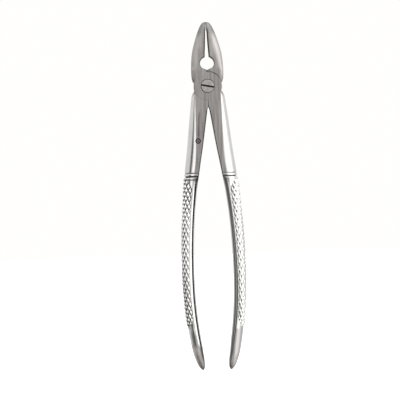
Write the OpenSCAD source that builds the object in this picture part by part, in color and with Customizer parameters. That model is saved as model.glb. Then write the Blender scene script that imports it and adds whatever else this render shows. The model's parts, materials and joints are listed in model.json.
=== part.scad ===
// Dental extraction forceps, straight upper pattern: two crossed levers on a slotted pivot screw.
// +Z runs along the tool to the beak tips, +X to the right, +Y to the back. Origin: on the pivot's
// axis, at the flat back face of the joint, so the middle of the thickness is at y = -joint_depth / 2.
// The front lever carries the left beak and the right handle. The rear lever is the same forging
// turned half a turn about Z, with a plain eye in place of the counterbored one. Beaks are closed.

/* [Overall] */
// Pivot centre to the beak tips, mm
beak_length = 32.95; // [28:0.05:38]
// Pivot centre to the ends of the handles, mm
handle_length = 144.3; // [125:0.1:160]
// Thickness of the closed joint, front to back, mm
joint_depth = 9; // [8:0.1:10]

/* [Joint] */
// Diameter of the two half-lap discs, mm
disc_d = 14.4; // [14.2:0.1:15]
// Clearance round each disc in the other lever's recess, mm
disc_clearance = 0.12; // [0.05:0.01:0.25]
// Gap between the two lapped faces, mm
lap_gap = 0.06; // [0.02:0.01:0.2]
// Clearance between the closed beak edges and between the shanks, mm
closed_gap = 0.04; // [0.02:0.01:0.2]

/* [Pivot screw] */
// Diameter of the screw head, mm
head_d = 6.6; // [6:0.1:7.6]
// Depth of the screw head, mm
head_h = 1.6; // [1.2:0.1:2]
// Diameter of the screw shank, mm
shank_d = 5; // [4:0.1:5.4]
// Radial running clearance of the shank in the front lever, mm
bore_clearance = 0.05; // [0.02:0.01:0.1]
// Width of the screwdriver slot, mm
slot_w = 0.75; // [0.6:0.05:1.2]
// Depth of the screwdriver slot, mm
slot_depth = 0.9; // [0.6:0.1:1.1]
// Angle of the slot below the horizontal, degrees
slot_angle = 11; // [-90:1:90]

/* [Beaks] */
// Radius of the round opening at the root of the beaks, mm
root_opening_r = 3.6; // [3:0.1:3.9]
// Height of that opening's centre over the pivot, mm
root_opening_z = 11.9; // [11.5:0.1:12.3]
// Depth of the beaks' hollow, as a share of the full depth
hollow = 1; // [0.5:0.05:1.1]

/* [Grips] */
// Height of the diamond points, mm
knurl_height = 0.55; // [0.2:0.05:0.7]
// Rows of diamond points along one grip
knurl_rows = 37; // [21:2:45]
// Where the grip starts below the pivot, mm
grip_top = 46.7; // [44:0.1:50]
// Where the grip ends below the pivot, mm
grip_bottom = 122.8; // [100:0.1:123]

/* [Hidden] */
$fn = 96;

steel = [0.72, 0.71, 0.70];
dark_steel = [0.62, 0.61, 0.60];
screw_steel = [0.78, 0.77, 0.75];

half_joint = joint_depth / 2;
disc_r = disc_d / 2;
head_r = head_d / 2;
shank_r = shank_d / 2;
overshoot = 2; // how far cuts run past the faces

root_z = 8.2;            // the beaks stretch above this height
root_slope = 24;         // slope of the root opening's lower edge, degrees
opening_block = 40;      // side of the block that bounds the root opening
shank_top = 9.2;         // the handles stretch from this distance below the pivot

eye_clearance = 0.02;    // radial, round the screw in the rear lever
head_clearance = 0.15;   // radial, round the screw head
head_floor_gap = 0.04;   // under the screw head
head_bevel_h = 0.15;     // bevel standing proud of the front face
head_bevel_inset = 0.35;
screw_inset = 0.05;      // the screw's end sits this far inside the back face
slot_overshoot = 1;

knurl_columns = 12;      // steps round the outer side of a handle
corner_steps = 4;        // steps round each inner corner of a handle
corner_turn = 75;        // each inner corner meets the flat facet 15 degrees off it

// Beak stations: height, outer edge, half depth, depth of the hollow, half gap between the edges,
// squareness of the section
BEAK = [
  [2.4, 7.5, 4.5, 0, 0, 8],
  [4, 7.98, 4.5, 0, 0, 8],
  [6, 8.18, 4.5, 0, 0, 7.5],
  [8, 8.22, 4.5, 0, 0, 7],
  [9.8, 8.18, 4.48, 2.6, 0, 5],
  [12.3, 8.06, 4.4, 3.9, 0.9, 3.8],
  [15.4, 7.76, 4.25, 4.3, 0.95, 3.1],
  [18.8, 7.16, 4.0, 4.1, 0.77, 2.7],
  [21.9, 6.32, 3.75, 3.7, 0.57, 2.5],
  [25, 5.38, 3.5, 3.0, 0.43, 2.4],
  [28.1, 4.24, 3.2, 2.1, 0.3, 2.3],
  [30, 3.46, 2.9, 1.5, 0.04, 2.2],
  [31.4, 2.68, 2.45, 0.8, 0, 2.2],
  [32.3, 2.0, 1.9, 0.3, 0, 2.1],
  [32.75, 1.3, 1.3, 0.05, 0, 2],
  [32.95, 0.6, 0.6, 0, 0, 2]
];

// Handle stations: distance below the pivot, outer edge, inner edge, half depth,
// edge of the flat facet, width of the rounded inner corner
HANDLE = [
  [2.4, 7.1, 0, 4.5, 6.2, 0.1],
  [3.6, 7.9, 0, 4.5, 6.3, 0.1],
  [5, 8.45, 0, 4.5, 6.4, 0.1],
  [9.9, 9.14, 0, 4.5, 6.46, 0.2],
  [11.5, 9.33, 0.46, 4.5, 6.48, 0.35],
  [13.5, 9.57, 0.78, 4.5, 6.5, 0.45],
  [19.2, 10.23, 1.66, 4.5, 6.5, 0.5],
  [25.5, 10.95, 2.62, 4.5, 6.55, 0.5],
  [31.6, 11.65, 3.6, 4.5, 6.6, 0.5],
  [37.7, 12.45, 4.7, 4.5, 6.95, 0.5],
  [43.9, 13.3, 5.75, 4.5, 7.9, 0.5],
  [46, 13.56, 6.1, 4.53, 8.4, 0.6],
  [46.9, 13.66, 6.25, 4.55, 8.8, 1.9],
  [50, 13.93, 6.75, 4.65, 9.3, 2],
  [56, 14.4, 7.55, 4.85, 10.0, 1.95],
  [65, 15.0, 8.6, 5.15, 10.95, 1.9],
  [75, 15.65, 9.35, 5.4, 11.65, 1.95],
  [85, 15.97, 9.78, 5.5, 12.1, 2.05],
  [95, 16.1, 9.87, 5.5, 12.25, 2.2],
  [105, 15.8, 9.7, 5.4, 12.1, 2.25],
  [115, 15.15, 9.08, 5.15, 11.45, 2.25],
  [123.2, 14.15, 8.25, 4.8, 10.6, 2.15],
  [129.2, 13.2, 7.45, 4.35, 9.7, 1.95],
  [135.3, 12.0, 6.75, 3.8, 8.9, 1.6],
  [139.6, 10.6, 6.2, 3.15, 8.1, 1.2],
  [142.4, 9.35, 6.1, 2.3, 7.6, 0.8],
  [143.7, 8.3, 6.5, 1.35, 7.3, 0.4],
  [144.3, 7.5, 7.0, 0.5, 7.2, 0.1]
];

// Smooth value of a table's column at position z: a cubic through the stations, without overshoot
function segment(table, z, i = 0) =
  i >= len(table) - 2 || z < table[i + 1][0] ? i : segment(table, z, i + 1);
function chord(table, column, i) =
  (table[i + 1][column] - table[i][column]) / (table[i + 1][0] - table[i][0]);
function slope(table, column, i) =
  i == 0 ? chord(table, column, 0) :
  i == len(table) - 1 ? chord(table, column, i - 1) :
  let (before = chord(table, column, i - 1), after = chord(table, column, i))
  before * after <= 0 ? 0 : 2 * before * after / (before + after);
function at(table, column, z) =
  let (i = segment(table, z),
       width = table[i + 1][0] - table[i][0],
       s = (z - table[i][0]) / width)
  (2 * s * s * s - 3 * s * s + 1) * table[i][column]
  + (s * s * s - 2 * s * s + s) * slope(table, column, i) * width
  + (3 * s * s - 2 * s * s * s) * table[i + 1][column]
  + (s * s * s - s * s) * slope(table, column, i + 1) * width;

// Table position to real position: the joint keeps its size, the beaks and handles stretch
beak_stretch = (beak_length - root_z) / (BEAK[len(BEAK) - 1][0] - root_z);
handle_stretch = (handle_length - shank_top) / (HANDLE[len(HANDLE) - 1][0] - shank_top);
depth_stretch = half_joint / HANDLE[0][3];
function beak_z(z) = z <= root_z ? z : root_z + (z - root_z) * beak_stretch;
function handle_z(z) = z <= shank_top ? z : shank_top + (z - shank_top) * handle_stretch;
function handle_table_z(z) = z <= shank_top ? z : shank_top + (z - shank_top) / handle_stretch;

function signed_pow(value, power) = sign(value) * pow(abs(value), power);

// One section of a beak, on the right side, counter-clockwise from above:
// the superellipse of the outer side, then the edges with the hollow between them
function beak_ring(z) =
  let (outer = at(BEAK, 1, z),
       half_depth = at(BEAK, 2, z) * depth_stretch,
       hollow_depth = at(BEAK, 3, z) * hollow,
       inner = at(BEAK, 4, z) + closed_gap / 2,
       power = 2 / at(BEAK, 5, z),
       bevel = min(0.7, half_depth * 0.22),
       half_hollow = (half_depth - bevel) * 0.78,
       top = beak_z(z))
  concat(
    [for (angle = [-90:10:90])
      [inner + bevel + (outer - inner - bevel) * signed_pow(cos(angle), power),
       half_depth * signed_pow(sin(angle), power), top]],
    [[inner, half_depth - bevel, top]],
    [for (i = [0:8]) let (angle = 90 - 22.5 * i)
      [inner + hollow_depth * cos(angle), half_hollow * sin(angle), top]],
    [[inner, bevel - half_depth, top]]);

// Depth of the two ring grooves just above the grip
function ring_groove(z, above_grip, depth, half_width) =
  depth * max(0, 1 - abs(z - grip_top + above_grip) / half_width);
function groove(z) = ring_groove(z, 2.6, 0.4, 0.4) + ring_groove(z, 0.9, 0.6, 0.5);

// Points stand on alternate places; the first and last rows are narrower
function knurled(row, column) =
  let (from_end = min(row, knurl_rows - row), margin = from_end == 1 ? 2 : 1)
  from_end > 0 && column >= margin && column <= knurl_columns - margin
  && (row + column) % 2 == 0;

// Rounded inner corner of a handle section; side is -1 at the front, 1 at the back
function corner(inner, half_depth, radius, side, first_angle, down) =
  [for (i = [0:corner_steps]) let (angle = first_angle + i * corner_turn / corner_steps)
    [inner + radius + radius * cos(angle),
     side * (half_depth - radius * sin(corner_turn)) + radius * sin(angle), -down]];

// One section of a handle, on the right side, counter-clockwise from above.
// row is the knurl row, or -1 off the grip. Points stand square to the elliptical outer side.
function handle_ring(down, row = -1) =
  let (z = handle_table_z(down),
       inset = groove(z),
       inner = at(HANDLE, 2, z) + closed_gap / 2,
       half_depth = at(HANDLE, 3, z) * depth_stretch - inset,
       facet = at(HANDLE, 4, z),
       bulge = at(HANDLE, 1, z) - inset - facet,
       radius = at(HANDLE, 5, z) / (1 - cos(corner_turn)))
  concat(
    corner(inner, half_depth, radius, -1, 180, down),
    [for (i = [0:knurl_columns])
      let (angle = -90 + i * 180 / knurl_columns,
           normal = [half_depth * cos(angle), bulge * sin(angle)],
           rise = (knurled(row, i) ? knurl_height : 0) / norm(normal))
      [facet + bulge * cos(angle) + rise * normal[0],
       half_depth * sin(angle) + rise * normal[1], -down]],
    corner(inner, half_depth, radius, 1, 180 - corner_turn, down));

beak_rings = [for (z = [
  2.4, 3.2, 4, 5, 6, 7, 8, 8.5, 9.1, 9.8, 10.9, 12.3, 13.8, 15.4, 17.1, 18.8, 20.3, 21.9, 23.5,
  25, 26.6, 28.1, 29, 30, 30.8, 31.4, 31.9, 32.3, 32.57, 32.8, 32.95]) beak_ring(z)];

shank_rings = [for (down = concat(
  [2.4, 3, 3.6, 4.2, 5, 7, 9, 9.9, 10.6, 11.5],
  [for (i = [0:9]) 13.5 + (grip_top - 3 - 13.5) * i / 9],
  [for (above = [2.6, 2.2, 1.4, 0.9, 0.4]) grip_top - above])) handle_ring(down)];
grip_rings = [for (row = [0:knurl_rows])
  handle_ring(grip_top + (grip_bottom - grip_top) * row / knurl_rows, row)];
end_rings = [for (z = [
  126.2, 129.2, 132.2, 135.3, 137.6, 139.6, 141, 141.9, 142.7, 143.3, 143.8, 144.1, 144.3])
  if (handle_z(z) > grip_bottom + 0.6) handle_ring(handle_z(z))];

// Skin over a stack of rings. The end caps fan out from point middle, the outermost of a ring.
// From ring knurl_start to knurl_end, alternate quads take the other diagonal.
module skin(rings, middle, knurl_start = -1, knurl_end = -1) {
  n = len(rings[0]);
  last = len(rings) - 1;
  quads = [for (j = [0:last - 1], i = [0:n - 1])
    let (a = j * n + i,
         b = j * n + (i + 1) % n,
         c = b + n,
         d = a + n,
         column = i - corner_steps - 1,
         other = j >= knurl_start && j < knurl_end && (column + j - knurl_start) % 2 == 0)
    each (other ? [[a, b, d], [b, c, d]] : [[a, b, c], [a, c, d]])];
  caps = [
    [for (i = [0:n - 1]) (middle - i + n) % n],
    [for (i = [0:n - 1]) last * n + (middle + i) % n]
  ];
  polyhedron(points = [for (r = rings, p = r) p], faces = concat(quads, caps), convexity = 8);
}

// Beak on the left: mirrored rings running up, so the faces keep their sense
module beak() skin([for (r = beak_rings) [for (p = r) [-p[0], p[1], p[2]]]], middle = 9);

module handle() skin(
  concat(shank_rings, grip_rings, end_rings),
  middle = corner_steps + 1 + knurl_columns / 2,
  knurl_start = len(shank_rings),
  knurl_end = len(shank_rings) + knurl_rows);

module along_y(y0, y1, r, z = 0)
  translate([0, y0, z]) rotate([-90, 0, 0]) cylinder(r = r, h = y1 - y0);

// Round opening at the beak's root, its lower edge running down to a point between the beaks
module root_opening() intersection() {
  along_y(-half_joint - overshoot, half_joint + overshoot, root_opening_r, root_opening_z);
  translate([0, 0, root_z])
    rotate([0, root_slope, 0])
      translate([-opening_block / 2, -opening_block / 2, 0])
        cube([opening_block, opening_block, opening_block]);
}

// One forging, front version: left beak, front disc, right handle
module forging() difference() {
  union() {
    beak();
    handle();
    along_y(-half_joint, -lap_gap / 2, disc_r);
  }
  along_y(-lap_gap / 2, half_joint + overshoot, disc_r + disc_clearance);
  root_opening();
}

// The modules above are drawn about the middle of the thickness
module placed() translate([0, -half_joint, 0]) children();

module front_lever() color(steel) placed() difference() {
  forging();
  along_y(-half_joint - overshoot, 0, shank_r + bore_clearance);
  along_y(-half_joint - overshoot, -half_joint + head_h + head_floor_gap, head_r + head_clearance);
}

module rear_lever() color(dark_steel) placed() difference() {
  rotate([0, 0, 180]) forging();
  along_y(0, half_joint + overshoot, shank_r + eye_clearance);
}

module pivot_screw() color(screw_steel) placed() difference() {
  union() {
    along_y(-half_joint, -half_joint + head_h, head_r);
    translate([0, -half_joint, 0])
      rotate([90, 0, 0])
        cylinder(r1 = head_r, r2 = head_r - head_bevel_inset, h = head_bevel_h);
    along_y(-half_joint + head_h, half_joint - screw_inset, shank_r);
  }
  rotate([0, slot_angle, 0])
    translate([-head_d, -half_joint - slot_overshoot, -slot_w / 2])
      cube([2 * head_d, slot_overshoot + slot_depth, slot_w]);
}

front_lever();
rear_lever();
pivot_screw();
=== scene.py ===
"""Pliers of two crossed levers on a pivot screw, with beaks at the top and pointed grips.

The joint's axis runs along Y through x = 0, z = 0. The beaks rise along +Z, the handles hang
along -Z, and the front (the screw head and the camera) is at -Y. The front lever has its
handle at +X and its beak at -X; the rear lever is the other way round.
"""
import bpy
import bmesh
import json
import math
import numpy as np
from mathutils import Matrix, Vector


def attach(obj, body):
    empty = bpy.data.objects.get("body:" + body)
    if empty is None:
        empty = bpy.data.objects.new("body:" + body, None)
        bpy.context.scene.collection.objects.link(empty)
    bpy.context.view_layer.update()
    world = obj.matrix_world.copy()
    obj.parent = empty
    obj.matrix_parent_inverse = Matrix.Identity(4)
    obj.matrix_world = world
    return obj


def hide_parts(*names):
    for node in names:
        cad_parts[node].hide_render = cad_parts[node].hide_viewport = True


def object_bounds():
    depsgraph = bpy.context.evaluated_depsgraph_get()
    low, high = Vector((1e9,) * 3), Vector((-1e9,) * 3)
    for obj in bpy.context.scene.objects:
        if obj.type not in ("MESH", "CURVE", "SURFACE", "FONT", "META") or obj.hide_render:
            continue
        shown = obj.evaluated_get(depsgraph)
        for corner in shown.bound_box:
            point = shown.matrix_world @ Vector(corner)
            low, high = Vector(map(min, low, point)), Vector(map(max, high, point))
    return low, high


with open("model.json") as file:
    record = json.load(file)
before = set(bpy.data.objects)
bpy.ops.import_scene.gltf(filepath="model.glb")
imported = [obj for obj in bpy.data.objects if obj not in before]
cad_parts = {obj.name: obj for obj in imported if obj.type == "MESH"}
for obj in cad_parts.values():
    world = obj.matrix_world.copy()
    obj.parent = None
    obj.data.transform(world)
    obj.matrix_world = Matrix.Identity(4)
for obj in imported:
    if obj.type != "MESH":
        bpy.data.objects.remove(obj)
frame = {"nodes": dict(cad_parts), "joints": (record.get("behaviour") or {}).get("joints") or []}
CAD_LO, CAD_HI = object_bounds()

# ---------------------------------------------------------------- sizes, mm
# Everything is drawn about the middle of the joint's thickness and moved onto the frame last.
HALF_T = 4.5                    # half the joint's thickness
MID_Y = Vector(frame["joints"][0]["pos_m"]).y * 1000 - HALF_T
DISC_R = 7.2
RECESS_R = DISC_R + 0.06        # the recess that takes the other lever's disc
LAP = 0.03                      # from the middle plane to each disc's inner face
EDGE = 0.02                     # from the middle line to each lever's inner edge
MOUTH_ROUND = 0.03              # rounding of the recess's mouth
DISC_ROUND = 0.05

HOLE_R, HOLE_Z = 3.6, 11.9      # opening at the beaks' root
HOLE_V_Z, HOLE_V_SLOPE = 8.2, math.radians(24)    # the shallow V that flattens its lower side
HOLE_CHAMFER, HOLE_CHAMFER_DEPTH = 0.35, 0.4

HEAD_R, HEAD_H = 3.3, 1.6       # screw head
HEAD_GAP, HEAD_CHAMFER = 0.13, 0.12
SHANK_R = 2.5
HEAD_TOP = -HALF_T - 0.13
HEAD_FACE_R = HEAD_R - 0.22
SLOT_HALF_W, SLOT_DEPTH = 0.375, 0.9
SLOT_TURN = math.radians(11)

GRIP_TOP, GRIP_BOTTOM = 46.7, 122.8    # below the pivot
ROWS, COLS = 37, 12             # cells of the panel of points
SUB = 6                         # mesh steps per cell
POINT_RISE = 0.47
CUT_DEPTH, END_CUT_EXTRA = 0.12, 0.20
# turned grooves: distance above the grip's top, half width, depth
GROOVES = [(2.6, 0.22, 0.42), (0.9, 0.28, 0.72)]
CORNER_STEPS = 11               # points on each rounded inner corner of the handle
CORNER_TURN = math.radians(75)  # it meets the flat facet in a crease, 15 degrees off it
FACET_STEPS = 8

# height, outer edge, half depth, hollow, half gap, squareness
BEAK = [
    [2.4, 7.5, 4.5, 0, 0, 8], [4, 7.98, 4.5, 0, 0, 8], [6, 8.18, 4.5, 0, 0, 7.5],
    [8, 8.22, 4.5, 0, 0, 7], [9.8, 8.18, 4.48, 2.6, 0, 5], [12.3, 8.06, 4.4, 3.9, 0.9, 3.8],
    [15.4, 7.76, 4.25, 4.3, 0.95, 3.1], [18.8, 7.16, 4.0, 4.1, 0.77, 2.7],
    [21.9, 6.32, 3.75, 3.7, 0.57, 2.5], [25, 5.38, 3.5, 3.0, 0.43, 2.4],
    [28.1, 4.24, 3.2, 2.1, 0.3, 2.3], [30, 3.46, 2.9, 1.5, 0.04, 2.2],
    [31.4, 2.68, 2.45, 0.8, 0, 2.2], [32.3, 2.0, 1.9, 0.3, 0, 2.1],
    [32.75, 1.3, 1.3, 0.05, 0, 2], [32.95, 0.6, 0.6, 0, 0, 2]]
# distance below the pivot, outer edge, inner edge, half depth, edge of the flat facet,
# width of the rounded inner corner
HANDLE = [
    [2.4, 7.1, 0, 4.5, 6.2, 0.1], [3.6, 7.9, 0, 4.5, 6.3, 0.1], [5, 8.45, 0, 4.5, 6.4, 0.1],
    [9.9, 9.14, 0, 4.5, 6.46, 0.2], [11.5, 9.33, 0.46, 4.5, 6.48, 0.35],
    [13.5, 9.57, 0.78, 4.5, 6.5, 0.45], [19.2, 10.23, 1.66, 4.5, 6.5, 0.5],
    [25.5, 10.95, 2.62, 4.5, 6.55, 0.5], [31.6, 11.65, 3.6, 4.5, 6.6, 0.5],
    [37.7, 12.45, 4.7, 4.5, 6.95, 0.5], [43.9, 13.3, 5.75, 4.5, 7.9, 0.5],
    [46, 13.56, 6.1, 4.53, 8.4, 0.6], [46.9, 13.66, 6.25, 4.55, 8.8, 1.9],
    [50, 13.93, 6.75, 4.65, 9.3, 2], [56, 14.4, 7.55, 4.85, 10.0, 1.95],
    [65, 15.0, 8.6, 5.15, 10.95, 1.9], [75, 15.65, 9.35, 5.4, 11.65, 1.95],
    [85, 15.97, 9.78, 5.5, 12.1, 2.05], [95, 16.1, 9.87, 5.5, 12.25, 2.2],
    [105, 15.8, 9.7, 5.4, 12.1, 2.25], [115, 15.15, 9.08, 5.15, 11.45, 2.25],
    [123.2, 14.15, 8.25, 4.8, 10.6, 2.15], [129.2, 13.2, 7.45, 4.35, 9.7, 1.95],
    [135.3, 12.0, 6.75, 3.8, 8.9, 1.6], [139.6, 10.6, 6.2, 3.15, 8.1, 1.2],
    [142.4, 9.35, 6.1, 2.3, 7.6, 0.8], [143.7, 8.3, 6.5, 1.35, 7.3, 0.4],
    [144.3, 7.5, 7.0, 0.5, 7.2, 0.1]]
# ring heights: even steps, then closer ones where the ends round off
BEAK_RINGS = list(np.arange(2.4, 32.2, 0.3)) + [
    32.3, 32.42, 32.53, 32.63, 32.72, 32.8, 32.86, 32.9, 32.93, 32.95]
SHANK_RINGS = (list(np.arange(2.4, GRIP_TOP - 3.5, 0.45))
               + list(np.arange(GRIP_TOP - 3.4, GRIP_TOP - 0.04, 0.07)))
END_RINGS = list(np.arange(GRIP_BOTTOM + 0.35, 143.3, 0.35)) + [
    143.5, 143.7, 143.85, 144.0, 144.1, 144.2, 144.26, 144.3]


# ---------------------------------------------------------------- curves and rings
def curve(table):
    """Smooth interpolation of every column of a station table, by its first column."""
    table = np.array(table, float)
    x = table[:, 0]
    steps = np.diff(table, axis=0) / np.diff(x)[:, None]
    slopes = np.zeros_like(table)
    slopes[0], slopes[-1] = steps[0], steps[-1]
    a, b = steps[:-1], steps[1:]
    # harmonic mean, which never overshoots
    slopes[1:-1] = np.where(a * b <= 0, 0, 2 * a * b / np.where(a + b == 0, 1, a + b))

    def at(z):
        i = int(np.clip(np.searchsorted(x, z, side="right") - 1, 0, len(x) - 2))
        width = x[i + 1] - x[i]
        s = (z - x[i]) / width
        return ((2 * s**3 - 3 * s**2 + 1) * table[i]
                + (s**3 - 2 * s**2 + s) * slopes[i] * width
                + (3 * s**2 - 2 * s**3) * table[i + 1]
                + (s**3 - s**2) * slopes[i + 1] * width)
    return at


beak_at, handle_at = curve(BEAK), curve(HANDLE)


def resample(points, count):
    """Spreads points along an open polyline, half by its length and half by its turning."""
    step = np.diff(points, axis=0)
    length = np.hypot(step[:, 0], step[:, 1]) + 1e-12
    heading = np.unwrap(np.arctan2(step[:, 1], step[:, 0]))
    turn = np.concatenate([[0], np.abs(np.diff(heading))])
    weight = 0.5 * length / length.sum() + 0.5 * turn / max(turn.sum(), 1e-9)
    along = np.concatenate([[0], np.cumsum(weight)])
    want = np.linspace(0, along[-1], count)
    return np.stack([np.interp(want, along, points[:, k]) for k in (0, 1)], 1)


def between(start, end, parts):
    """The inner points of a straight line cut into equal parts."""
    return np.linspace(start, end, parts + 1)[1:-1]


def power(value, exponent):
    return np.sign(value) * np.abs(value) ** exponent


def beak_ring(z):
    """Section at height z: a squarish outer half and a hollow inner side between two lands."""
    _, outer_x, depth, hollow, gap, square = beak_at(z)
    inner_x = gap + EDGE
    land = min(0.7, depth * 0.22)
    hollow_depth = (depth - land) * 0.78
    angle = np.radians(np.linspace(-90, 90, 721))
    outer = np.stack([
        inner_x + land + (outer_x - inner_x - land) * power(np.cos(angle), 2 / square),
        depth * power(np.sin(angle), 2 / square)], 1)
    outer = resample(outer, 81)
    angle = np.radians(np.linspace(90, -90, 29))
    dish = np.stack([inner_x + hollow * np.cos(angle), hollow_depth * np.sin(angle)], 1)
    dish[0, 0] = dish[-1, 0] = inner_x
    back, front = [inner_x, depth - land], [inner_x, land - depth]
    points = np.concatenate([
        outer, between(outer[-1], back, 3), [back], between(back, dish[0], 3), dish,
        between(dish[-1], front, 3), [front], between(front, outer[0], 3)])
    # the beak is on the side away from its handle
    return np.column_stack([-points[:, 0], points[:, 1], np.full(len(points), z)])


def groove(z):
    return sum(depth * math.exp(-((z - GRIP_TOP + above) / half) ** 2)
               for above, half, depth in GROOVES)


def diamond(u, v):
    """Staggered pillow-shaped points: 1 at whole (u, v) with an even sum, 0 in the cuts."""
    s, t = (u + v) / 2, (u - v) / 2
    return (1 - 4 * (s - np.round(s)) ** 2) * (1 - 4 * (t - np.round(t)) ** 2)


def panel(u, v):
    """1 inside the panel of points, 0 outside; its first and last rows narrow outwards."""
    fade = 0.34
    from_end = min(v, ROWS - v)
    inset = max(0, 3.2 - 1.3 * from_end)
    return np.clip((np.minimum(u, COLS - u) - inset) / fade, 0, 1) * min(1, from_end / fade)


def handle_ring(z, v=None):
    """Section at distance z below the pivot; v is the row of the grip, where there is one."""
    _, outer_x, inner_x, depth, facet_x, corner = handle_at(z)
    cut = groove(z)
    outer_x, depth, inner_x = outer_x - cut, depth - cut, inner_x + EDGE
    bulge = outer_x - facet_x
    radius = corner / (1 - math.cos(CORNER_TURN))
    angle = np.radians(np.linspace(180, 255, CORNER_STEPS))
    front = np.stack([inner_x + radius + radius * np.cos(angle),
                      -depth + radius * math.sin(CORNER_TURN) + radius * np.sin(angle)], 1)
    back = front[::-1] * [1, -1]
    u = np.linspace(0, COLS, COLS * SUB + 1)
    angle = np.radians(-90 + 180 / COLS * u)
    normal = np.hypot(depth * np.cos(angle), bulge * np.sin(angle))
    if v is None:
        rise = 0 * u
    else:
        # the cuts are deepest over the ends of the grip
        from_end = min(v, ROWS - v)
        sink = CUT_DEPTH + END_CUT_EXTRA * (1 - min(1, max(0, (from_end - 4) / 7)))
        rise = (diamond(u, v) * (POINT_RISE + sink) - sink) * panel(u, v)
    outer = np.stack([
        facet_x + bulge * np.cos(angle) + rise * depth * np.cos(angle) / normal,
        depth * np.sin(angle) + rise * bulge * np.sin(angle) / normal], 1)
    points = np.concatenate([
        front, between(front[-1], outer[0], FACET_STEPS), outer,
        between(outer[-1], back[0], FACET_STEPS), back, between(back[-1], front[0], 10)])
    return np.column_stack([points, np.full(len(points), -z)])


# ---------------------------------------------------------------- mesh data
def skin(rings, grip_start=None):
    """Closed skin over a stack of rings.

    grip_start is the (column, row) where the grip begins: from there on, quads are split
    along the diamonds' cuts."""
    count, size = len(rings), len(rings[0])
    faces = []
    for j in range(count - 1):
        for i in range(size):
            k = (i + 1) % size
            a, b, c, d = j * size + i, j * size + k, (j + 1) * size + k, (j + 1) * size + i
            col = row = -1
            if grip_start:
                col, row = (i - grip_start[0]) // SUB, (j - grip_start[1]) // SUB
            if not (0 <= col < COLS and 0 <= row < ROWS):
                faces.append((a, b, c, d))
            elif (col + row) % 2 == 0:
                faces += [(a, b, d), (b, c, d)]
            else:
                faces += [(a, b, c), (a, c, d)]
    faces.append(tuple(range(size)))
    faces.append(tuple((count - 1) * size + i for i in range(size)))
    return np.concatenate(rings), faces


def lathe(profile, segments=192):
    """Solid of revolution about Y from (r, y) pairs that start and end on the axis."""
    verts, faces, rings = [], [], []
    for r, y in profile:
        if r < 1e-9:
            rings.append([len(verts)])
            verts.append((0, y, 0))
        else:
            rings.append(list(range(len(verts), len(verts) + segments)))
            verts += [(r * math.cos(2 * math.pi * i / segments), y,
                       r * math.sin(2 * math.pi * i / segments)) for i in range(segments)]
    for p, q in zip(rings, rings[1:]):
        for i in range(segments):
            k = (i + 1) % segments
            if len(p) == 1:
                faces.append((p[0], q[k], q[i]))
            elif len(q) == 1:
                faces.append((p[i], p[k], q[0]))
            else:
                faces.append((p[i], p[k], q[k], q[i]))
    return np.array(verts, float), faces


def rounding(r, y, radius, start, end, steps=4):
    """Profile points on an arc about (r, y), from start to end degrees, without the first."""
    angles = [math.radians(start + (end - start) * i / steps) for i in range(1, steps + 1)]
    return [(r + radius * math.cos(a), y + radius * math.sin(a)) for a in angles]


# ---------------------------------------------------------------- objects
def add_object(name, data):
    obj = bpy.data.objects.new(name, data)
    bpy.context.scene.collection.objects.link(obj)
    return obj


def make(name, data):
    """Object from (vertices, faces), closed and with its normals outwards."""
    verts, faces = data
    mesh = bpy.data.meshes.new(name)
    mesh.from_pydata([tuple(v) for v in verts], [], faces)
    bm = bmesh.new()
    bm.from_mesh(mesh)
    bmesh.ops.remove_doubles(bm, verts=bm.verts, dist=1e-6)
    bmesh.ops.triangulate(bm, faces=[f for f in bm.faces if len(f.verts) > 4])
    bmesh.ops.recalc_face_normals(bm, faces=bm.faces)
    if bm.calc_volume(signed=True) < 0:
        bmesh.ops.reverse_faces(bm, faces=bm.faces)
    bm.to_mesh(mesh)
    bm.free()
    return add_object(name, mesh)


def boolean(obj, tool, operation="DIFFERENCE"):
    """Applies the tool to the object and removes the tool."""
    mod = obj.modifiers.new("b", "BOOLEAN")
    mod.operation = operation
    mod.object = tool
    mod.solver = "MANIFOLD"
    depsgraph = bpy.context.evaluated_depsgraph_get()
    mesh = bpy.data.meshes.new_from_object(obj.evaluated_get(depsgraph))
    if len(mesh.polygons) == 0:
        raise RuntimeError("a boolean came out empty: " + obj.name)
    obj.modifiers.clear()
    old = obj.data
    obj.data = mesh
    bpy.data.meshes.remove(old)
    bpy.data.objects.remove(tool)
    return obj


def settle(obj, name, turned=False, sharp=17):
    """Cleans the mesh, puts it on the frame in metres, and marks its sharp edges."""
    mesh = obj.data
    mesh.name = obj.name = name
    bm = bmesh.new()
    bm.from_mesh(mesh)
    bmesh.ops.dissolve_degenerate(bm, edges=bm.edges, dist=1e-5)
    bm.to_mesh(mesh)
    bm.free()
    if turned:
        mesh.transform(Matrix.Rotation(math.pi, 4, "Z"))
    mesh.transform(Matrix.Translation((0, MID_Y, 0)))
    mesh.transform(Matrix.Scale(0.001, 4))
    mesh.polygons.foreach_set("use_smooth", [True] * len(mesh.polygons))
    mesh.set_sharp_from_angle(angle=math.radians(sharp))
    mesh.update()
    mod = obj.modifiers.new("w", "WEIGHTED_NORMAL")
    mod.keep_sharp = True
    mod.weight = 90
    depsgraph = bpy.context.evaluated_depsgraph_get()
    new = bpy.data.meshes.new_from_object(
        obj.evaluated_get(depsgraph), preserve_all_data_layers=True, depsgraph=depsgraph)
    obj.modifiers.clear()
    obj.data = new
    bpy.data.meshes.remove(mesh)
    new.name = name
    return obj


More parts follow.
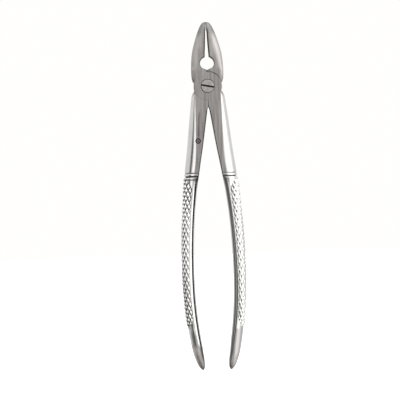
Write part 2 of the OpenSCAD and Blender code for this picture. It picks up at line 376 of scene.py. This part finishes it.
# ---------------------------------------------------------------- the two levers
def lever_blank():
    """Beak, handle and the front half-thickness disc, joined."""
    beak = make("beak", skin([beak_ring(z) for z in BEAK_RINGS]))
    steps = ROWS * SUB
    grip = [handle_ring(GRIP_TOP + (GRIP_BOTTOM - GRIP_TOP) * k / steps, k / SUB)
            for k in range(steps + 1)]
    rings = [handle_ring(z) for z in SHANK_RINGS] + grip + [handle_ring(z) for z in END_RINGS]
    grip_start = (CORNER_STEPS + FACET_STEPS - 1, len(SHANK_RINGS))
    handle = make("handle", skin(rings, grip_start))
    rim = DISC_R - DISC_ROUND
    disc = make("disc", lathe(
        [(0, -HALF_T), (rim, -HALF_T)]
        + rounding(rim, -HALF_T + DISC_ROUND, DISC_ROUND, -90, 0)
        + [(DISC_R, -LAP), (0, -LAP)]))
    return boolean(boolean(beak, handle, "UNION"), disc, "UNION")


def cut_recess(lever):
    """Room at the back for the other lever's disc, with a broken mouth."""
    mouth = RECESS_R + MOUTH_ROUND
    recess = make("recess", lathe(
        [(0, -LAP), (RECESS_R, -LAP), (RECESS_R, HALF_T - MOUTH_ROUND)]
        + rounding(mouth, HALF_T - MOUTH_ROUND, MOUTH_ROUND, 180, 90)
        + [(mouth, HALF_T + 2), (0, HALF_T + 2)]))
    lever = boolean(lever, recess)
    # the mouth falls away gently where the recess runs out under the beak
    bevel = make("bevel", lathe([
        (0, HALF_T - 0.25), (RECESS_R - 0.52, HALF_T - 0.25),
        (RECESS_R + 1.98, HALF_T + 0.75), (0, HALF_T + 0.75)]))
    bevel.data.transform(Matrix.Translation((-0.2, 0, 0.26)))
    return boolean(lever, bevel)


def hole_ring(y, grow):
    """Outline of the root opening at depth y, widened by grow."""
    ring = []
    for i in range(160):
        angle = 2 * math.pi * i / 160
        dx, dz = math.cos(angle), math.sin(angle)
        radius = HOLE_R
        toward_v = -(dz * math.cos(HOLE_V_SLOPE) - abs(dx) * math.sin(HOLE_V_SLOPE))
        if toward_v > 1e-6:
            radius = min(radius, (HOLE_Z - HOLE_V_Z) * math.cos(HOLE_V_SLOPE) / toward_v)
        ring.append([dx * (radius + grow), y, HOLE_Z + dz * (radius + grow)])
    return np.array(ring)


def cut_root_hole(lever):
    """Opening through the beaks' root, chamfered on both faces."""
    half = [(HALF_T + 1, HOLE_CHAMFER + 1), (HALF_T, HOLE_CHAMFER),
            (HALF_T - HOLE_CHAMFER_DEPTH, 0)]
    stations = [(-y, grow) for y, grow in half] + half[::-1]
    return boolean(lever, make("hole", skin([hole_ring(y, grow) for y, grow in stations])))


def cut_front_bore(lever):
    """Sunk seat for the screw head, and the bore behind it."""
    radius, floor_y = HEAD_R + HEAD_GAP, -HALF_T + HEAD_H
    sink = make("sink", lathe([
        (0, -HALF_T - 1), (radius + HEAD_CHAMFER + 1, -HALF_T - 1),
        (radius + HEAD_CHAMFER, -HALF_T), (radius, -HALF_T + HEAD_CHAMFER),
        (radius, floor_y + 0.04), (0, floor_y + 0.04)]))
    # a hair off centre, so the gap round the head is wider at the upper left
    sink.data.transform(Matrix.Translation((-0.055, 0, 0.055)))
    lever = boolean(lever, sink)
    bore_r = SHANK_R + 0.05
    return boolean(lever, make("bore", lathe([
        (0, floor_y - 0.5), (bore_r, floor_y - 0.5), (bore_r, 1), (0, 1)])))


def cut_rear_bore(lever):
    """Bore for the shank with a chamfer, drawn as it lies once the lever is turned."""
    bore_r, chamfer = SHANK_R + 0.02, 0.15
    bore = make("bore", lathe([
        (0, -HALF_T), (bore_r, -HALF_T), (bore_r, HALF_T - chamfer),
        (bore_r + chamfer, HALF_T), (bore_r + chamfer, HALF_T + 1), (0, HALF_T + 1)]))
    bore.data.transform(Matrix.Rotation(math.pi, 4, "Z"))
    return boolean(lever, bore)


def forging(name, cut_bore, turned):
    lever = cut_root_hole(cut_recess(lever_blank()))
    return settle(cut_bore(lever), name, turned)


# ---------------------------------------------------------------- the pivot screw
def pivot_screw():
    # slightly domed face with faint turning waves
    face = []
    for i in reversed(range(48)):
        r = HEAD_FACE_R - i * 0.06
        dome = 0.05 * (1 - (r / HEAD_R) ** 2)
        face.append((r, HEAD_TOP - dome + 0.012 * math.cos(i * 2 * math.pi / 7)))
    face.insert(0, (0, face[0][1]))
    end_r = SHANK_R - 0.15
    shaft = [(HEAD_R - 0.1, HEAD_TOP + 0.03), (HEAD_R - 0.03, HEAD_TOP + 0.08),
             (HEAD_R, HEAD_TOP + 0.18), (HEAD_R, -HALF_T + HEAD_H),
             (SHANK_R, -HALF_T + HEAD_H), (SHANK_R, HALF_T - 0.3), (end_r, HALF_T - 0.12)]
    end = [(r, HALF_T - 0.05 - 0.07 * (r / end_r) ** 2) for r in (2.0, 1.6, 1.2, 0.8, 0.4, 0)]
    screw = make("screw", lathe(face + shaft + end, 160))
    # (z, y) down one wall of the slot, whose edges are broken
    wall = [(SLOT_HALF_W + 1.12, -HALF_T - 1.2), (SLOT_HALF_W + 0.12, HEAD_TOP - 0.03),
            (SLOT_HALF_W, HEAD_TOP + 0.1), (SLOT_HALF_W, -HALF_T + SLOT_DEPTH)]
    slot = [(-z, y) for z, y in wall] + wall[::-1]
    cut = make("cut", skin([np.array([[x, y, z] for z, y in slot]) for x in (-6, 6)]))
    cut.data.transform(Matrix.Rotation(SLOT_TURN, 4, "Y"))
    return settle(boolean(screw, cut), "pivot_screw_turned", sharp=22)


front = forging("front_lever_forging", cut_front_bore, turned=False)
rear = forging("rear_lever_forging", cut_rear_bore, turned=True)
screw = pivot_screw()

for piece, half, node, slot in (
        (front, "front_half", "front_lever", "lever_steel"),
        (rear, "rear_half", "rear_lever", "lever_steel"),
        (screw, "rear_half", "pivot_screw", "screw_steel")):
    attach(piece, half)
    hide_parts(node)


# ---------------------------------------------------------------- shader nodes
class Value:
    """A node's output. Arithmetic on it adds nodes to the same tree."""

    def __init__(self, net, socket):
        self.net = net
        self.socket = socket

    def math(self, operation, other=0.0, clamp=False):
        return self.net.add("ShaderNodeMath", {0: self, 1: other, 2: 0.0},
                            operation=operation, use_clamp=clamp)

    def __mul__(self, other):
        return self.math("MULTIPLY", other)

    def __add__(self, other):
        return self.math("ADD", other)

    def __sub__(self, other):
        return self.math("SUBTRACT", other)

    def max(self, other):
        return self.math("MAXIMUM", other)

    def abs(self):
        return self.math("ABSOLUTE")

    def span(self, off, on, low=0.0, high=1.0):
        """Smooth step: low where this is at off, high where it is at on."""
        return self.net.add("ShaderNodeMapRange", {0: self, 1: off, 2: on, 3: low, 4: high},
                            interpolation_type="SMOOTHSTEP")

    def band(self, first, second):
        """1 between two ends and 0 beyond them; each end is (off, on)."""
        return self.span(*first) * self.span(*second)

    def blend(self, low, high):
        """Number that goes from low to high as this goes from 0 to 1."""
        return self.net.add("ShaderNodeMix", {0: self, 2: low, 3: high}, data_type="FLOAT")

    def mix(self, low, high):
        """Colour that goes from low to high as this goes from 0 to 1."""
        return self.net.add("ShaderNodeMix", {0: self, 6: low, 7: high}, output=2,
                            data_type="RGBA")

    def tint(self, mask, color, share=None):
        """This colour, with another laid over it by share of the mask."""
        return (mask if share is None else mask * share).mix(self, color)

    def ramp(self, stops):
        node = self.net.node("ShaderNodeValToRGB", {0: self})
        elements = node.color_ramp.elements
        while len(elements) > 1:
            elements.remove(elements[-1])
        for i, (position, level) in enumerate(stops):
            element = elements[0] if i == 0 else elements.new(position)
            element.position = position
            element.color = (level, level, level, 1)
        return Value(self.net, node.outputs[0])


def radius_of(a, b):
    return (a * a + b * b).math("SQRT")


class Net:
    """Builds the node tree of a material or world."""

    def __init__(self, owner):
        owner.use_nodes = True
        self.tree = owner.node_tree
        self.tree.nodes.clear()

    def node(self, kind, inputs={}, **props):
        node = self.tree.nodes.new(kind)
        for key, value in props.items():
            setattr(node, key, value)
        for key, value in inputs.items():
            socket = node.inputs[key]
            if isinstance(value, Value):
                self.tree.links.new(value.socket, socket)
            else:
                socket.default_value = (*value, 1) if socket.type == "RGBA" else value
        return node

    def add(self, kind, inputs={}, output=0, **props):
        return Value(self, self.node(kind, inputs, **props).outputs[output])

    def split(self, vector):
        node = self.node("ShaderNodeSeparateXYZ", {0: vector})
        return [Value(self, socket) for socket in node.outputs]


class Metal(Net):
    """A metal laid out in its object's own space, in metres."""

    def __init__(self, name):
        self.material = bpy.data.materials.new(name)
        super().__init__(self.material)
        self.place = self.add("ShaderNodeTexCoord", output="Object")
        self.x, self.y, self.z = self.split(self.place)

    def noise(self, scale, detail, rough, stretch=(1, 1, 1)):
        vector = self.add("ShaderNodeMapping", {"Scale": stretch, "Vector": self.place})
        return self.add("ShaderNodeTexNoise", {"Scale": scale, "Detail": detail,
                                               "Roughness": rough, "Vector": vector}, "Fac")

    def openness(self, reach):
        """1 in the open, falling in corners nearer than reach."""
        return self.add("ShaderNodeAmbientOcclusion", {"Distance": reach}, "AO", samples=6)

    def finish(self, color, rough, relief, edge_radius, bump_strength):
        edges = self.add("ShaderNodeBevel", {"Radius": edge_radius}, samples=4)
        normal = self.add("ShaderNodeBump", {"Strength": bump_strength, "Distance": 0.00002,
                                             "Height": relief, "Normal": edges})
        shader = self.add("ShaderNodeBsdfPrincipled", {
            "Metallic": 1.0, "Base Color": color, "Roughness": rough, "Normal": normal})
        self.node("ShaderNodeOutputMaterial", {0: shader})
        return self.material


# ---------------------------------------------------------------- lever steel
class LeverSteel(Metal):
    """Stainless steel: bead-blasted at the beaks, joint, flat facets and handle ends,
    polished along the shanks and grips."""

    def __init__(self, name, is_rear):
        super().__init__(name)
        self.is_rear = is_rear
        # +1 where this lever's handle is at +X
        self.side = -1 if is_rear else 1
        # the normal in the piece's own space, so the finish stays put when the lever turns
        world_normal = self.add("ShaderNodeNewGeometry", output="True Normal")
        normal = self.add("ShaderNodeVectorTransform", {0: world_normal},
                          vector_type="NORMAL", convert_from="WORLD", convert_to="OBJECT")
        self.normal_x, self.normal_y, _ = self.split(normal)
        self.cloud = self.noise(scale=70, detail=4, rough=0.6)
        self.speck = self.noise(scale=2600, detail=2, rough=0.6)
        # long lines down the lever, fine and broad, and short ones across it
        self.streak = self.noise(scale=1500, detail=3, rough=0.6, stretch=(1, 1, 0.035))
        self.broad = self.noise(scale=1000, detail=2, rough=0.5, stretch=(1, 1, 0.05))
        self.cross = self.noise(scale=1700, detail=2, rough=0.6, stretch=(0.05, 1, 1))

    def pick(self, front, rear):
        return rear if self.is_rear else front

    def to_handle(self):
        """How far the surface faces the side this lever's handle is on."""
        return self.normal_x * self.side

    def to_beak(self):
        return self.normal_x * -self.side

    def polish_mask(self):
        """1 on the rounded outer side of the shank and on the grip, 0 on the blasted parts."""
        end = self.pick(front=(-0.1390, -0.1345), rear=(-0.1330, -0.1300))
        length = self.z.band((-0.0028, -0.0058), end)
        curved = self.normal_y.abs().span(off=0.9995, on=0.9965)
        outward = self.to_handle().span(off=-0.02, on=0.02)
        grip = self.z.span(off=-0.0455, on=-0.0540)
        return length * (curved * outward).max(grip)

    def wear_and_painted_light_masks(self):
        """Bright points and dark cuts of the grip, told by how pointed the surface is: partly
        wear and dirt, partly painted highlights on the points and painted shade in the cuts.
        """
        z = self.z
        pointed = self.add("ShaderNodeNewGeometry", output="Pointiness")
        grip_pointiness = z.span(off=-0.046, on=-0.048) * pointed
        edge = grip_pointiness.span(off=0.515, on=0.56)
        upper = z.span(off=-0.072, on=-0.064) if self.is_rear else 0.0
        grime_and_shade = grip_pointiness.span(off=0.492, on=0.445).max(grip_pointiness.span(off=0.503, on=0.468) * upper)
        return edge, grime_and_shade * z.span(off=-0.046, on=-0.048)

    def blasted_color(self):
        z, broad, pick = self.z, self.broad, self.pick
        # painted highlight on the beak's outer side
        flank_highlight = self.to_beak().span(off=0.05, on=0.40) * z.band((0.002, 0.008), (0.0285, 0.0235))
        # the handle's end: painted shade on its inner side, and a painted brightness of its own
        # on each lever
        end = self.to_beak().span(off=-0.35, on=0.55).mix(
            low=broad.span(off=0.36, on=0.60).mix(
                low=pick(front=(0.56, 0.535, 0.52), rear=(0.80, 0.77, 0.75)),
                high=pick(front=(0.48, 0.46, 0.445), rear=(0.70, 0.67, 0.655))),
            high=pick(front=(0.40, 0.38, 0.37), rear=(0.25, 0.238, 0.230)))
        color = self.cloud.span(off=0.35, on=0.68).mix(
            low=(0.285, 0.270, 0.260), high=(0.250, 0.238, 0.229))
        color = color.tint(self.speck.span(off=0.35, on=0.7), (0.35, 0.333, 0.323), share=0.30)
        color = color.tint(broad.span(off=0.48, on=0.62), (0.190, 0.178, 0.170), share=0.60)
        color = color.tint(broad.span(off=0.46, on=0.34), (0.38, 0.363, 0.352), share=0.50)
        # the beak's tip
        color = color.tint(z.span(off=0.0250, on=0.0285), (0.205, 0.206, 0.208), share=0.6)
        color = color.tint(flank_highlight, (0.46, 0.44, 0.43), share=pick(front=0.45, rear=0.85))
        return color.tint(z.span(off=-0.130, on=-0.134), end, share=0.9)

    def polished_color(self):
        z = self.z
        color = self.cloud.span(off=0.3, on=0.7).mix(
            low=(0.76, 0.755, 0.745), high=(0.68, 0.675, 0.665))
        color = color.tint(self.broad.span(off=0.52, on=0.72), (0.50, 0.495, 0.49), share=0.35)
        if self.is_rear:
            # painted shade: darker on all but the inner side, mostly low on the grip
            away = self.to_beak().span(off=0.22, on=0.08)
            upper = z.span(off=-0.064, on=-0.072, low=0.0, high=0.32)
            lower = z.span(off=-0.088, on=-0.102, low=upper, high=1.0)
            end = z.span(off=-0.124, on=-0.121, low=0.0, high=0.65)
            return color.tint(away * (lower * end), (0.33, 0.325, 0.32))
        # a painted highlight: a bright strip along the front and back of the grip
        ahead = self.to_handle().band((-0.24, -0.10), (0.50, 0.20))
        grip = ahead.mix(low=(0.52, 0.516, 0.51), high=(0.87, 0.865, 0.855))
        color = color.tint(z.span(off=-0.0475, on=-0.0500), grip)
        return color.tint(z.span(off=-0.1226, on=-0.1240), (0.50, 0.493, 0.487))

    def groove_painted_shade(self):
        """Painted shade in the two turned grooves above the grip."""
        low = (self.z + 0.0459).abs().span(off=0.00042, on=0.00016)
        high = (self.z + 0.0441).abs().span(off=0.00036, on=0.00014)
        return (low * self.pick(front=0.55, rear=0.92)).max(
            high * self.pick(front=0.35, rear=0.45))

    def full_color(self, polished, edge, grime_and_shade, crevice_shade):
        x, z = self.x, self.z
        color = polished.mix(self.blasted_color(), self.polished_color())
        # painted highlight: a light line where the beaks' tips meet
        meet = (x.abs().span(off=0.00045, on=0.00020)
                * z.band((0.0275, 0.0290), (0.0322, 0.0308)))
        color = color.tint(meet, (0.62, 0.61, 0.60))
        # painted shade on the gripping side of the beak
        inner = self.to_handle().span(off=0.25, on=0.5) * z.band((0.0095, 0.0125),
                                                                (0.0300, 0.0265))
        color = color.tint(inner, (0.130, 0.115, 0.105), share=0.85)
        # painted highlight on the grip's points, together with their wear
        color = color.tint(edge, (0.84, 0.83, 0.815), share=0.5)
        # how dark the grip's cuts get: dirt and painted shade, strongest near the top and bottom
        # of the rear grip
        if self.is_rear:
            grime_and_shade_share = z.span(off=-0.070, on=-0.058, low=0.35, high=0.9).max(
                z.span(off=-0.108, on=-0.114, low=0.35, high=0.9))
        else:
            grime_and_shade_share = z.span(off=-0.056, on=-0.050, low=0.06, high=0.2)
        color = color.tint(grime_and_shade, (0.06, 0.057, 0.055), share=grime_and_shade_share)
        color = color.tint(self.groove_painted_shade(), (0.045, 0.043, 0.041))
        # painted shade in crevices, weaker at the tips, round the disc and on the front lever's
        # grip
        near_tip = z.span(off=0.0290, on=0.0265, low=0.0, high=0.5)
        round_disc = radius_of(x, z).span(off=0.0080, on=0.0090, low=0.2, high=1.0)
        on_grip = z.span(off=-0.0465, on=-0.0480, low=1.0, high=self.pick(front=0.3, rear=1.0))
        return color.tint((crevice_shade * near_tip) * (round_disc * on_grip), (0.030, 0.026, 0.024))

    def roughness(self, polished, edge, grime_and_shade, crevice_shade):
        cloud, streak = self.cloud, self.streak
        blasted = (cloud.span(off=0.3, on=0.7, low=0.43, high=0.50)
                   + streak.span(off=0.3, on=0.7, low=-0.03, high=0.03))
        bright = (cloud.span(off=0.3, on=0.7, low=0.09, high=0.14)
                  + streak.span(off=0.4, on=0.75, low=0.0, high=0.05)
                  + self.z.span(off=-0.034, on=-0.018, low=0.0, high=0.09))
        edge_drop, soil_gain, dirt_share = 0.04, 0.25, 0.5
        rough = polished.blend(blasted, bright) - edge * edge_drop
        return rough.math("ADD", crevice_shade.max(grime_and_shade * dirt_share) * soil_gain, clamp=True)

    def relief(self, polished):
        """Blasting grain and long polishing lines."""
        cross_share = 0.25
        grain = self.speck * polished.blend(low=1.0, high=0.05)
        lines = self.streak * polished.blend(low=0.8, high=0.5)
        return grain + (lines + self.cross * cross_share)

    def add_stripe(self, color):
        """A darker brushed streak down the shank's facet, leaning with the handle."""
        start_x, lean = 0.0038, 0.068
        off_line = ((self.x * self.side + -start_x) + self.z * lean).abs()
        stripe = off_line.span(off=0.00062, on=0.00030) * self.z.band((-0.0115, -0.0145),
                                                                     (-0.0275, -0.0245))
        share = self.streak.span(off=0.25, on=0.6, low=0.25, high=0.75)
        return color.tint(stripe, (0.085, 0.078, 0.074), share)

    def etched_mask(self):
        """A small ring and dot on the shank's front face."""
        center_x, center_z = -0.0058, -0.0277
        radius = radius_of(self.x - center_x, self.z - center_z)
        ring = radius.band((0.00078, 0.00086), (0.00144, 0.00136))
        dot = radius.span(off=0.00048, on=0.00040)
        return ring.max(dot) * self.normal_y.span(off=-0.8, on=-0.9)

    def build(self):
        polished = self.polish_mask()
        crevice_shade = self.openness(reach=0.0005).span(off=0.75, on=0.25)
        edge, grime_and_shade = self.wear_and_painted_light_masks()
        color = self.full_color(polished, edge, grime_and_shade, crevice_shade)
        rough = self.roughness(polished, edge, grime_and_shade, crevice_shade)
        if self.is_rear:
            etched = self.etched_mask()
            color = self.add_stripe(color).tint(etched, (0.006, 0.005, 0.006))
            rough = etched.blend(low=rough, high=0.75)
        return self.finish(color, rough, self.relief(polished),
                           edge_radius=0.00010, bump_strength=0.22)


# ---------------------------------------------------------------- screw steel
def screw_steel():
    """Turned steel with fine rings, dull in the slot, and dark in the slot and crevices with
    grime and painted shade.
    """
    net = Metal("screw_steel")
    ring_pitch = 0.00021
    radius = radius_of(net.x, net.z)
    rings = (radius * (2 * math.pi / ring_pitch)).math("SINE")
    wander = net.noise(scale=420, detail=3, rough=0.6)
    scratch = net.noise(scale=1600, detail=3, rough=0.65, stretch=(0.08, 1, 1))
    # grime and painted shade on the slot's floor and walls: below the face, in the front half,
    # within the head
    face_y = MID_Y - HALF_T
    below = net.y.span(off=(face_y + 0.12) * 0.001, on=(face_y + 0.3) * 0.001)
    ahead = net.y.span(off=(MID_Y + 1.0) * 0.001, on=(MID_Y - 1.0) * 0.001)
    within = radius.span(off=HEAD_R * 0.00104, on=HEAD_R * 0.00101)
    grime_and_shade = net.openness(reach=0.0007).span(off=0.80, on=0.35).max(below * (ahead * within))
    color = wander.span(off=0.3, on=0.7).mix(
        low=(0.33, 0.315, 0.305), high=(0.27, 0.257, 0.247))
    color = color.tint(rings.span(off=-0.2, on=0.9), (0.46, 0.445, 0.435), share=0.45)
    color = color.tint(grime_and_shade, (0.060, 0.055, 0.052), share=0.95)
    ring_relief, scratch_relief, dirt_rough = 0.5, 0.8, 0.4
    rough = wander.span(off=0.3, on=0.7, low=0.30, high=0.38) + grime_and_shade * dirt_rough
    return net.finish(color, rough, rings * ring_relief + scratch * scratch_relief,
                      edge_radius=0.00008, bump_strength=0.35)


for piece, node, steel in (
        (front, "front_lever", LeverSteel("front_lever_steel", is_rear=False).build()),
        (rear, "rear_lever", LeverSteel("rear_lever_steel", is_rear=True).build()),
        (screw, "pivot_screw", screw_steel())):
    # the CAD piece wears the same steel as the one that replaces it
    for obj in (piece, frame["nodes"][node]):
        obj.data.materials.clear()
        obj.data.materials.append(steel)


# ---------------------------------------------------------------- studio, metres
def sheet(name, corners):
    """A flat one-faced object."""
    mesh = bpy.data.meshes.new(name)
    mesh.from_pydata(corners, [], [tuple(range(len(corners)))])
    return add_object(name, mesh)


def add_floor():
    """White floor just under the handles, kept out of the steel's reflections."""
    half, z = 1.6, CAD_LO.z - 0.0002
    floor = sheet("floor", [(-half, -half, z), (half, -half, z), (half, half, z),
                            (-half, half, z)])
    material = bpy.data.materials.new("floor_white")
    net = Net(material)
    diffuse = net.add("ShaderNodeBsdfDiffuse", {"Color": (0.9, 0.9, 0.9)})
    glow = net.add("ShaderNodeEmission", {"Color": (1, 1, 1), "Strength": 0.62})
    both = net.add("ShaderNodeAddShader", {0: diffuse, 1: glow})
    net.node("ShaderNodeOutputMaterial", {0: both})
    floor.data.materials.append(material)
    floor.visible_glossy = False


# (y, z) corners of the card between the handles
FLAG = [(-0.0125, -0.140), (-0.0045, -0.140), (-0.0045, -0.055), (-0.0092, -0.040),
        (-0.0085, -0.012), (-0.0145, -0.012), (-0.0170, -0.036), (-0.0150, -0.060)]


def add_flag():
    """Two-sided card, black on the left and dark grey on the right, seen in reflections."""
    flag = sheet("flag", [(0, y, z) for y, z in FLAG])
    material = bpy.data.materials.new("flag_black")
    net = Net(material)
    incoming_x = net.split(net.add("ShaderNodeNewGeometry", output="Incoming"))[0]
    from_right = incoming_x.math("GREATER_THAN", 0.0)
    glow = net.add("ShaderNodeEmission", {"Strength": from_right.blend(low=0.03, high=0.20)})
    net.node("ShaderNodeOutputMaterial", {0: glow})
    flag.data.materials.append(material)
    flag.visible_camera = False
    flag.visible_diffuse = False
    flag.visible_shadow = False
    flag.visible_transmission = False


# Brightness round the studio as (degrees, level), from the camera's side, positive to the right
LEVEL = [(-180, 0.85), (-76, 0.82), (-62, 0.74), (-55, 0.16), (-43, 0.12), (-35, 0.65),
         (-28, 1.4), (-8, 1.35), (-2, 0.80), (8, 0.80), (15, 1.15), (28, 1.7), (62, 1.9),
         (72, 1.4), (86, 1.05), (102, 0.85), (180, 0.85)]
ABOVE = [(-180, 1.0), (-90, 1.3), (-40, 1.7), (0, 1.6), (40, 2.4), (70, 2.4), (110, 1.2),
         (180, 1.0)]
BELOW = [(-180, 1.0), (-128, 0.75), (-92, 0.12), (-30, 0.08), (-4, 0.30), (12, 0.9),
         (30, 1.5), (70, 1.5), (105, 0.9), (180, 0.70)]


def add_world():
    """Light and dark panels for the reflections; plain white to the camera and diffuse rays."""
    world = bpy.data.worlds.new("studio")
    bpy.context.scene.world = world
    net = Net(world)
    dx, dy, dz = net.split(net.add("ShaderNodeTexCoord", output="Generated"))
    # azimuth, with -180 to 180 degrees brought to 0 to 1
    azimuth = dx.math("ARCTAN2", dy * -1.0).math("DIVIDE", 2 * math.pi) + 0.5
    level, above, below = (
        azimuth.ramp([(degrees / 360 + 0.5, light) for degrees, light in stops])
        for stops in (LEVEL, ABOVE, BELOW))
    lower = dz.span(off=-0.16, on=-0.36).blend(level, below)
    light = dz.span(off=0.16, on=0.40).blend(lower, above)
    light = light * dz.span(off=-0.9, on=-0.5, low=0.3, high=1.0)
    path = net.node("ShaderNodeLightPath")
    for ray in ("Is Camera Ray", "Is Diffuse Ray"):
        light = Value(net, path.outputs[ray]).blend(low=light, high=1.0)
    background = net.add("ShaderNodeBackground", {"Strength": light,
                                                  "Color": (1.0, 0.995, 0.985)})
    net.node("ShaderNodeOutputWorld", {0: background})


def add_camera():
    """Square on to the front face, rolled about 2 degrees."""
    view_width = 0.204
    roll = math.radians(1.95)
    shift_left, shift_down = 0.0039015, 0.057783    # from the pivot to the view's centre
    data = bpy.data.cameras.new("camera")
    data.lens = 135
    data.sensor_width = 36
    data.clip_start = 0.05
    data.clip_end = 20
    camera = add_object("camera", data)
    bpy.context.scene.camera = camera
    right = Vector((math.cos(roll), 0, -math.sin(roll)))
    up = Vector((math.sin(roll), 0, math.cos(roll)))
    target = Vector((0, MID_Y * 0.001, 0)) - right * shift_left - up * shift_down
    distance = view_width * data.lens / data.sensor_width
    camera.matrix_world = Matrix((
        (right.x, up.x, 0, target.x),
        (right.y, up.y, -1, target.y - distance),
        (right.z, up.z, 0, target.z),
        (0, 0, 0, 1)))


add_floor()
add_flag()
add_world()
add_camera()
view = bpy.context.scene.view_settings
view.view_transform = "Standard"
view.look = "None"
